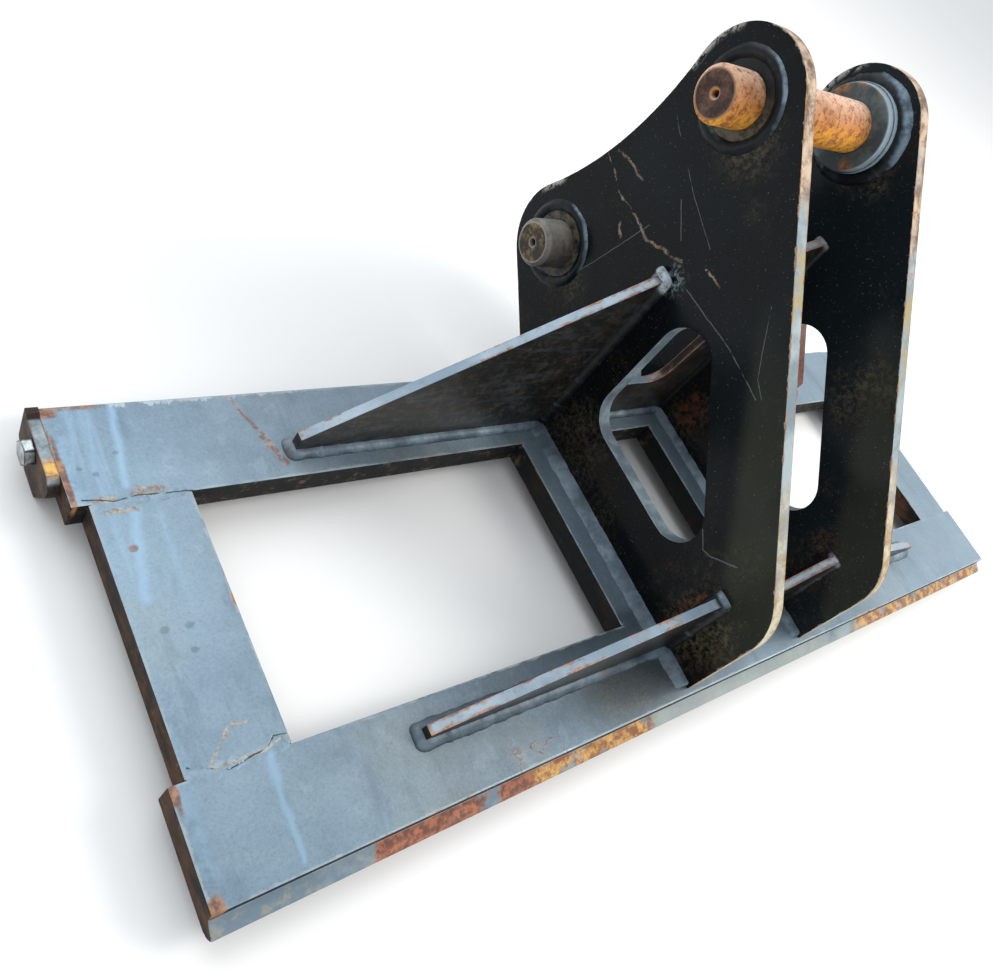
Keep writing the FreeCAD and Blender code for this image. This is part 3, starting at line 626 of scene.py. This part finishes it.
def boss_paint():
    """Turned collars: dull dark faces, paler rounds where the light catches them."""
    m = Material("boss_paint")
    face = m.step(m.math("ABSOLUTE", m.axis("X", "normal")), 0.5, 0.9)
    fine = m.noise(90, 6, 0.75)
    slope = m.vector("DOT_PRODUCT", m.normal, (0.0, -0.7, 0.7))
    rounds = m.mix(m.step(m.noise(16, 5, 0.6, shift=2), 0.35, 0.7), "8799A5", "AFC0CA")
    rounds = m.mix(m.step(slope, -0.4, 0.4), "2A3134", rounds)
    flat = m.mix(m.step(m.noise(22, 6, 0.7, shift=4), 0.4, 0.65), "3D474B", "667071")
    rusty = m.either(*[
        m.spot((0.09, y, z), (0.01, 0.013, 0.013), 0.4, 1.2, wobble=1.8)
        for y, z in ((0.287, 0.527), (0.272, 0.549), (0.242, 0.56), (0.205, 0.47))
    ])
    flat = m.mix(m.times(rusty, 0.8), flat, m.mix(m.step(fine, 0.4, 0.6), "6A4028", "A0703E"))
    outside = m.mix(m.step(m.noise(22, 6, 0.7, shift=4), 0.4, 0.65), "0F1416", "23282A")
    from_pin = m.vector("SUBTRACT", m.place, tuple(MAIN))
    low = m.step(m.vector("DOT_PRODUCT", from_pin, (0, -0.7, -0.7)), -0.01, 0.03)
    outside = m.mix(m.times(low, m.step(fine, 0.4, 0.6), 0.6), outside, "6E6450")
    flat = m.mix(m.step(m.axis("X"), -0.12, -0.13), flat, outside)
    m.bump(fine, 0.25, 0.001)
    return m.finish(m.mix(face, rounds, flat), 0.42, specular=0.25)


def weld_paint():
    """Painted weld beads: pale blue-grey where they face the sky, partly a painted sky reflection, near-black
    elsewhere, with painted shade near the left ear's near side.
    """
    m = Material("weld_paint")
    fine = m.noise(110, 6, 0.75)
    up = m.upward(0.0, 0.7)
    colour = m.mix(m.step(m.noise(22, 6, 0.7), 0.38, 0.66), "54636F", "8495A1")
    # painted shade on the beads near the left ear's near side
    near_left_shade = m.times(m.step(m.axis("X"), -0.13, -0.2), m.step(m.axis("Y"), -0.1, -0.14))
    colour = m.mix(m.times(near_left_shade, 0.5), colour, "3C474E")
    # upward faces keep the pale colour, partly a painted sky reflection; other faces go near-black
    colour = m.mix(up, "101315", colour)
    colour = m.mix(m.times(m.step(m.noise(40, 6, 0.7, shift=5), 0.6, 0.68), 0.6), colour, "6B5240")
    lump = m.spot((0, 0.16, 0.322), (WIDE, 0.025, 0.022), 0.6, 1.1, wobble=0.8)
    colour = m.mix(m.times(lump, m.step(fine, 0.36, 0.55), 0.8), colour, "B4C2CA")
    m.bump(fine, 0.3, 0.0012)
    return m.finish(colour, 0.42, metallic=m.times(up, 0.15), specular=0.3)


def ring_paint():
    """The dark ring welds round the bosses, catching light on one side only."""
    m = Material("ring_paint")
    fine = m.noise(110, 6, 0.75)
    colour = m.mix(m.step(m.noise(15, 5, 0.6), 0.35, 0.7), "0B0F12", "171D21")
    slope = m.vector("DOT_PRODUCT", m.normal, (0.0, -0.6, 0.8))
    light = m.mix(m.step(m.noise(30, 6, 0.7, shift=2), 0.4, 0.6), "44535E", "7A8F9E")
    colour = m.mix(m.step(slope, 0.36, 0.66), colour, light)
    colour = m.mix(m.times(m.step(m.noise(34, 6, 0.7, shift=5), 0.58, 0.7), 0.5), colour, "4E4234")
    m.bump(fine, 0.2, 0.001)
    return m.finish(colour, 0.32, specular=0.2)


def pin_end(m, centre, face, chamfer, hole):
    """Mask of a pin's end face and its colour, with a dark centre hole and a worn rim."""
    end = m.step(m.math("ABSOLUTE", m.axis("X", "normal")), 0.75, 0.95)
    middle = m.spot((0, centre.y, centre.z), (WIDE, 0.0062, 0.0062), 0.4, 0.9)
    rim = m.times(m.step(m.edge(), 2.2, 0.6), m.flip(middle))
    face = m.mix(m.times(rim, 0.7), face, chamfer)
    return m.either(end, middle), m.mix(middle, face, hole)


def rusty_pin():
    """Main pin: bright rust, with a painted pale highlight on the side facing the sky and orange to yellow on
    the side facing down.
    """
    m = Material("rusty_pin")
    fine = m.noise(150, 7, 0.75)
    rough = m.noise(60, 7, 0.75, shift=5)
    colour = m.mix(m.step(m.noise(26, 7, 0.75), 0.38, 0.62), "B47F5A", "D3A17C")
    # painted highlight: the side of the pin facing the sky is made pale; the side facing down goes orange and
    # yellow
    sky = m.vector("DOT_PRODUCT", m.normal, (0.0, 0.75, 0.66))
    colour = m.mix(m.times(m.step(sky, 0.0, 0.8), 0.8), colour, "E6C4AE")
    colour = m.mix(m.times(m.step(sky, 0.1, -0.5), 0.7), colour, "D98634")
    colour = m.mix(m.times(m.step(sky, -0.3, -0.8), m.step(rough, 0.4, 0.56), 0.9), colour, "FFB43C")
    colour = m.mix(m.times(m.step(rough, 0.46, 0.36), 0.55), colour, "8C5030")
    colour = m.mix(m.times(m.step(fine, 0.5, 0.6), 0.7), colour, "74412A")
    plate = m.mix(m.step(m.noise(60, 6, 0.75, shift=3), 0.4, 0.68), "3A2A24", "6A5042")
    end, plate = pin_end(m, MAIN, plate, "A88468", "1C1310")
    m.bump(m.math("ADD", fine, m.math("MULTIPLY", rough, 1.5)), 0.75, 0.0016)
    return m.finish(m.mix(end, colour, plate), 0.75, specular=0.25)


def worn_pin():
    """Link pin: brown-grey bare steel."""
    m = Material("worn_pin")
    fine = m.noise(140, 7, 0.75)
    colour = m.mix(m.step(m.noise(24, 6, 0.75), 0.38, 0.64), "504E4A", "7C7972")
    colour = m.mix(m.times(m.step(fine, 0.5, 0.66), 0.5), colour, "8A7B68")
    plate = m.mix(m.step(m.noise(55, 6, 0.75, shift=3), 0.46, 0.66), "2E261E", "84714A")
    end, plate = pin_end(m, LINK, plate, "9A948A", "14100D")
    m.bump(fine, 0.5, 0.0014)
    return m.finish(m.mix(end, colour, plate), 0.55, specular=0.3)


def stop_paint():
    """Stop plates: grey paint on the upper edge with a yellow stain, rust on the rest."""
    m = Material("stop_paint")
    fine = m.noise(120, 7, 0.75)
    low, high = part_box("left_stop_plate")
    side = m.mix(m.step(m.noise(34, 6, 0.75), 0.4, 0.66), "251B14", "5C4230")
    top = m.mix(m.step(m.noise(40, 6, 0.75, shift=7), 0.4, 0.62), "66747D", "98A3A8")
    stain = m.spot((0, low.y + 0.018, high.z), (WIDE, 0.016, 0.05), 0.2, 1.0, wobble=1.4)
    top = m.mix(m.times(stain, 0.85), top, m.mix(m.step(fine, 0.42, 0.56), "B5682C", "E6B855"))
    top = m.mix(m.times(m.step(m.edge(), 2.0, 0.5), 0.6), top, "6E4D34")
    top = m.mix(m.step(m.axis("Y"), high.y - 0.014, high.y - 0.01), top, "2B211A")
    top = m.mix(m.times(m.upward(0.9, 0.75), m.step(m.axis("Z"), high.z - 0.008, high.z - 0.012)), top, side)
    colour = m.mix(m.upward(0.3, 0.7), side, top)
    m.bump(fine, 0.5, 0.0012)
    return m.finish(colour, 0.6, specular=0.3)


def zinc():
    """Zinc-plated bolts with grime along their edges."""
    m = Material("zinc")
    fine = m.noise(160, 6, 0.7)
    colour = m.mix(m.step(m.noise(70, 5, 0.7), 0.4, 0.65), "7D8387", "C6CACB")
    colour = m.mix(m.times(m.step(m.ragged_edge(5.0, 120), 2.0, 0.5), 0.9), colour, "1E2426")
    m.bump(fine, 0.25, 0.0006)
    return m.finish(colour, m.math("ADD", 0.28, m.math("MULTIPLY", fine, 0.2)), metallic=0.7)


# ---------------------------------------------------------------- meshes

def sharp_edges(mesh):
    """Edges between two faces that meet at more than the SHARP angle."""
    limit = math.radians(SHARP)
    return [e for e in mesh.edges if len(e.link_faces) == 2 and e.calc_face_angle(0) > limit]


def edge_tree(mesh, step=0.002):
    """Points along every sharp edge, to measure from."""
    points = []
    for edge in sharp_edges(mesh):
        a, b = (v.co for v in edge.verts)
        count = max(1, int((b - a).length / step))
        points += [a.lerp(b, i / count) for i in range(count + 1)]
    tree = KDTree(len(points))
    for index, point in enumerate(points):
        tree.insert(point, index)
    tree.balance()
    return tree


def split_long(mesh, size):
    """Cuts the mesh into triangles with no edge much longer than size."""
    for _ in range(9):
        bmesh.ops.triangulate(mesh, faces=mesh.faces[:])
        long = [e for e in mesh.edges if e.calc_length() > size]
        if not long:
            break
        bmesh.ops.subdivide_edges(mesh, edges=long, cuts=1)
    bmesh.ops.triangulate(mesh, faces=mesh.faces[:])


def add_object(name, mesh, body, material, smooth=35):
    """Turns a bmesh into a piece that rides on a body."""
    data = bpy.data.meshes.new(name)
    mesh.to_mesh(data)
    mesh.free()
    data.shade_smooth()
    data.set_sharp_from_angle(angle=math.radians(smooth))
    piece = bpy.data.objects.new(name, data)
    bpy.context.scene.collection.objects.link(piece)
    data.materials.append(material)
    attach(piece, body)
    return piece


def keep_edge_distance(mesh, distance_of):
    """Stores each vertex's distance from the nearest sharp edge, in millimetres, for the materials."""
    layer = mesh.verts.layers.float.new("edge")
    for vertex in mesh.verts:
        vertex[layer] = min(distance_of(vertex.co) * 1000, EDGE_LIMIT)


def refine(node, material, bevel, size):
    """Replaces a CAD node with the same shape, its edges broken and its faces fine enough for wear."""
    source = frame["nodes"][node]
    mesh = bmesh.new()
    mesh.from_mesh(source.data)
    bmesh.ops.remove_doubles(mesh, verts=mesh.verts[:], dist=0.00003)
    bmesh.ops.dissolve_limit(
        mesh, angle_limit=math.radians(0.4), use_dissolve_boundaries=False,
        verts=mesh.verts[:], edges=mesh.edges[:],
    )
    tree = edge_tree(mesh)
    bmesh.ops.bevel(
        mesh, geom=sharp_edges(mesh), offset=bevel, offset_type="OFFSET",
        segments=2, profile=0.6, affect="EDGES", clamp_overlap=True,
    )
    split_long(mesh, size)
    keep_edge_distance(mesh, lambda place: tree.find(place)[2])
    mesh.normal_update()
    piece = add_object(node + "_skin", mesh, source["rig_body"], material)
    normals = piece.modifiers.new("flat_faces", "WEIGHTED_NORMAL")
    normals.keep_sharp = True
    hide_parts(node)


def fillet(root, base, wall, up, out):
    """One station of a fillet weld: its two toes, its outward direction and its root."""
    return root + base * up, root + wall * out, (base + wall).normalized(), root


def spread(points):
    """Even stations along a polyline whose corners carry a direction each: (point, direction)."""
    stations = []
    for (a, na), (b, nb) in zip(points, points[1:]):
        length = (b - a).length
        turn = na.angle(nb, 0)
        count = max(1, int(length / STATION), int(turn / 0.2))
        for index in range(count):
            t = index / count
            stations.append((a.lerp(b, t), na.slerp(nb, t) if 0.001 < turn < 3.1 else na))
    stations.append(points[-1])
    return stations


def bead_station(mesh, rail, travelled, shrink, bulge, ripple, seed):
    """One station of a bead: vertices on a rippled dome from toe to toe, and one under its root."""
    a, b, outward, root = rail
    middle = (a + b) / 2
    slow = noise.noise(Vector((travelled * 60, seed, 0)))
    fast = noise.noise(Vector((travelled * 190, seed, 4)))
    wobble = 1 + 0.16 * slow + 0.08 * fast
    station = []
    for index in range(BEAD_COLUMNS + 1):
        t = index / BEAD_COLUMNS
        point = a.lerp(b, t)
        point = root + (point - root) * wobble * (0.5 + 0.5 * shrink)
        dome = 4 * t * (1 - t)
        wave = math.sin(2 * math.pi * travelled / RIPPLE_PITCH - 1.6 * (2 * t - 1) ** 2 + seed)
        height = (a - b).length * bulge * dome * shrink + ripple * wave * dome
        height += 0.0004 * noise.noise((middle + outward * t * 0.01) * 170 + Vector((seed, 0, 0)))
        station.append(mesh.verts.new(point + outward * height))
    station.append(mesh.verts.new(root - outward * 0.0006))
    return station


def join_stations(mesh, stations, closed):
    """Faces from each station to the next, and over both ends of an open bead."""
    count = len(stations)
    size = len(stations[0])
    for i in range(count if closed else count - 1):
        here, after = stations[i], stations[(i + 1) % count]
        for j in range(size):
            k = (j + 1) % size
            mesh.faces.new((here[j], here[k], after[k], after[j]))
    if not closed:
        mesh.faces.new(stations[0][::-1])
        mesh.faces.new(stations[-1])
    bmesh.ops.recalc_face_normals(mesh, faces=mesh.faces[:])


def bead(name, rails, bulge=0.16, closed=False, seed=0.0, ripple=0.0002, taper=0.006, material=None):
    """A weld bead on the frame: an uneven convex strip that thins out at its ends."""
    mesh = bmesh.new()
    total = sum((b[3] - a[3]).length for a, b in zip(rails, rails[1:]))
    stations = []
    travelled = 0.0
    previous = rails[0][3]
    for rail in rails:
        travelled += (rail[3] - previous).length
        previous = rail[3]
        shrink = 1.0
        if not closed:
            near_end = min(travelled, total - travelled)
            shrink = math.sqrt(max(0.02, min(1.0, near_end / taper)))
        stations.append(bead_station(mesh, rail, travelled, shrink, bulge, ripple, seed))
    join_stations(mesh, stations, closed)
    keep_edge_distance(mesh, lambda place: EDGE_LIMIT)
    add_object(name, mesh, "frame", material or WELD, smooth=60)


def run(name, points, base, up=WELD_LEG, out=WELD_LEG, **options):
    """A fillet weld along corner points that each carry the wall's direction."""
    rails = [fillet(p, base, wall, up, out) for p, wall in spread(points)]
    bead(name, rails, **options)


def round_the_pin(count=150):
    """Even directions round a pin's axis."""
    angles = [2 * math.pi * index / count for index in range(count)]
    return [Vector((0, math.cos(angle), math.sin(angle))) for angle in angles]


def collar_weld(name, centre, facing, radius, reach, height, seed):
    """A fillet weld round a boss, against its side."""
    rails = [fillet(centre + radial * radius, facing, radial, height, reach) for radial in round_the_pin()]
    bead(name, rails, closed=True, seed=seed, bulge=0.12, material=RING)


def spigot_weld(name, centre, facing, radius, reach, height, seed):
    """A low ring of weld where a boss's spigot ends flush with the ear's outer face."""
    rails = []
    for radial in round_the_pin():
        inner = centre + radial * radius
        outer = centre + radial * (radius + reach)
        root = centre + radial * (radius + reach / 2) - facing * 0.002
        rails.append((inner, outer, facing, root))
    bead(name, rails, closed=True, seed=seed, bulge=height / reach, material=RING)


def ear_welds(side):
    """Foot and boss welds of one ear."""
    hand = "left" if side < 0 else "right"
    low, high = EAR[side]
    outer = low.x if side < 0 else high.x
    inner = high.x if side < 0 else low.x
    for label, face, direction, out in (("outer", outer, side, 0.019), ("inner", inner, -side, 0.012)):
        wall = Vector((direction, 0, 0))
        points = [
            (Vector((face, low.y + 0.004, BAR_TOP)), wall),
            (Vector((face, FOOT_END, BAR_TOP)), wall),
        ]
        run(
            "%s_ear_%s_foot_weld" % (hand, label), points, UP,
            up=0.0075, out=out, seed=side + face * 9, bulge=0.05, taper=0.002,
        )
    for pin, centre, seed in (("main", MAIN, 0.0), ("link", LINK, 3.0)):
        inside = Vector((inner, centre.y, centre.z))
        inward = Vector((-side, 0, 0))
        collar_weld(
            "%s_%s_boss_weld" % (hand, pin), inside, inward,
            radius=0.053, reach=0.0135, height=0.011, seed=seed,
        )
        if side < 0:
            outside = Vector((outer, centre.y, centre.z))
            spigot_weld(
                "%s_%s_spigot_weld" % (hand, pin), outside, -inward,
                radius=0.041, reach=0.0145, height=0.0042, seed=seed + 1,
            )


def cross_plate_welds(node):
    """Welds at the foot and at both ears of a cross plate that stands on a bar."""
    low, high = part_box(node)
    for label, y, direction in (("near", low.y, -1), ("far", high.y, 1)):
        wall = Vector((0, direction, 0))
        run("%s_%s_weld" % (node, label), [
            (Vector((low.x + 0.004, y, BAR_TOP)), wall),
            (Vector((high.x - 0.004, y, BAR_TOP)), wall),
        ], UP, seed=y * 50)
        for hand, x, side in (("left", low.x, -1), ("right", high.x, 1)):
            run("%s_%s_%s_ear_weld" % (node, label, hand), [
                (Vector((x, y, BAR_TOP + 0.006)), wall),
                (Vector((x, y, high.z - 0.001)), wall),
            ], Vector((-side, 0, 0)), up=0.006, out=0.006, seed=y * 70 + side)


def gusset_welds(node):
    """Welds round the foot of a gusset, up both its sides at the ear and over its top."""
    low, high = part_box(node)
    side = -1 if high.x < 0 else 1
    ear_x = high.x if side < 0 else low.x
    tail_x = low.x if side < 0 else high.x
    near, far = Vector((0, -1, 0)), Vector((0, 1, 0))
    tail = Vector((side, 0, 0))
    run(node + "_weld", [
        (Vector((ear_x + side * 0.004, low.y, BAR_TOP)), near),
        (Vector((tail_x, low.y, BAR_TOP)), near),
        (Vector((tail_x, low.y, BAR_TOP)), tail),
        (Vector((tail_x, high.y, BAR_TOP)), tail),
        (Vector((tail_x, high.y, BAR_TOP)), far),
        (Vector((ear_x + side * 0.004, high.y, BAR_TOP)), far),
    ], UP, out=0.0095, seed=tail_x * 20 + low.y)
    for label, y, wall in (("near", low.y, near), ("far", high.y, far)):
        run("%s_%s_ear_weld" % (node, label), [
            (Vector((ear_x, y, BAR_TOP + 0.006)), wall),
            (Vector((ear_x, y, high.z + 0.002)), wall),
        ], tail, seed=tail_x * 30 + y)
    slope = Vector((side * 0.57, 0, 0.82))
    run(node + "_top_weld", [
        (Vector((ear_x, low.y - 0.006, high.z)), slope),
        (Vector((ear_x, high.y + 0.006, high.z)), slope),
    ], tail, up=0.013, out=0.01, seed=tail_x * 40 + low.y, bulge=0.22)


def uprights_seams():
    """Ground butt welds where the uprights meet the bars: low, uneven strips."""
    for node in ("left_end_plate", "right_end_plate", "left_middle_member", "right_middle_member"):
        low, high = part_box(node)
        for label, y in (("lower", low.y), ("upper", high.y)):
            rails = []
            count = 46
            for index in range(count + 1):
                x = low.x + 0.002 + (high.x - low.x - 0.004) * index / count
                drift = 0.0025 * noise.noise(Vector((x * 30, y * 9, 0)))
                half = 0.0065 + 0.002 * noise.noise(Vector((x * 45, y * 5, 3)))
                centre = Vector((x, y + drift, BAR_TOP))
                rails.append((
                    centre + Vector((0, -half, -0.0002)),
                    centre + Vector((0, half, -0.0002)),
                    UP,
                    centre - UP * 0.0012,
                ))
            seed = x * 7 + y * 3
            bead("%s_%s_seam" % (node, label), rails, bulge=0.05, seed=seed, ripple=0.0001, material=PAINT)


# ---------------------------------------------------------------- build

PAINT = frame_paint()
HITCH = hitch_paint()
RIB = rib_paint()
BRACE = rib_paint("brace_paint", lipped=True)
BOSS = boss_paint()
WELD = weld_paint()
RING = ring_paint()
# end of a node's name: its material, the width of its broken edges, its longest mesh edge
FINISHES = {
    "bar": (PAINT, 0.0022, 0.012),
    "end_plate": (PAINT, 0.0015, 0.012),
    "middle_member": (PAINT, 0.0015, 0.012),
    "ear": (HITCH, 0.0012, 0.011),
    "boss": (BOSS, 0.0014, 0.008),
    "gusset": (RIB, 0.001, 0.01),
    "cross_plate": (BRACE, 0.001, 0.01),
    "main_pin": (rusty_pin(), 0.0012, 0.006),
    "link_pin": (worn_pin(), 0.0012, 0.006),
    "flag": (HITCH, 0.001, 0.01),
    "stop_plate": (stop_paint(), 0.0012, 0.006),
    "bolt": (zinc(), 0.0008, 0.006),
}

for node in sorted(frame["nodes"]):
    key = next(k for k in sorted(FINISHES, key=len, reverse=True) if node.endswith(k))
    material, bevel, size = FINISHES[key]
    refine(node, material, bevel, size)

for side in (-1, 1):
    ear_welds(side)
for hand in ("left", "right"):
    gusset_welds(hand + "_upper_gusset")
    gusset_welds(hand + "_lower_gusset")
cross_plate_welds("upper_cross_plate")
cross_plate_welds("lower_cross_plate")
uprights_seams()


# ---------------------------------------------------------------- stage

def make_floor():
    """The pale floor just under the frame."""
    mesh = bmesh.new()
    bmesh.ops.create_grid(mesh, x_segments=2, y_segments=2, size=60)
    data = bpy.data.meshes.new("floor")
    mesh.to_mesh(data)
    mesh.free()
    floor = bpy.data.objects.new("floor", data)
    floor.location.z = cad_box[0][2] - 0.0005
    bpy.context.scene.collection.objects.link(floor)
    m = Material("floor")
    data.materials.append(m.finish(m.mix(m.noise(2), "F2F2F0", "F5F5F3"), 0.9, specular=0.1))


def add_light(name, place, target, size, power, colour):
    """A square area light aimed at a point."""
    data = bpy.data.lights.new(name, "AREA")
    data.size = size
    data.energy = power
    data.color = colour
    light = bpy.data.objects.new(name, data)
    light.location = place
    light.rotation_euler = (Vector(target) - Vector(place)).to_track_quat("-Z", "Y").to_euler()
    bpy.context.scene.collection.objects.link(light)


def set_stage():
    """Floor, a warm key light, a cool sky light and a pale surround."""
    make_floor()
    add_light("key", (2.2, -1.2, 2.6), (0, 0, 0.2), 1.6, 80, (1.0, 0.97, 0.92))
    add_light("sky", (-0.6, 1.8, 2.6), (0, 0, 0.2), 3.0, 45, (0.9, 0.95, 1.0))
    world = bpy.data.worlds.new("world")
    bpy.context.scene.world = world
    world.use_nodes = True
    background = world.node_tree.nodes["Background"]
    background.inputs["Color"].default_value = (0.93, 0.96, 1.0, 1)
    background.inputs["Strength"].default_value = 0.85
    bpy.context.scene.view_settings.view_transform = "Standard"


def add_camera():
    """The view from above the frame's left end."""
    data = bpy.data.cameras.new("camera")
    data.lens = 33.405
    data.sensor_width = 36
    data.shift_x = -0.0083
    data.shift_y = -0.0007
    data.clip_end = 50
    camera = bpy.data.objects.new("camera", data)
    camera.location = (-1.0117, -0.3038, 0.8140)
    camera.rotation_euler = [math.radians(a) for a in (38.3824, -30.3154, -30.8994)]
    bpy.context.scene.collection.objects.link(camera)
    bpy.context.scene.camera = camera


set_stage()
add_camera()
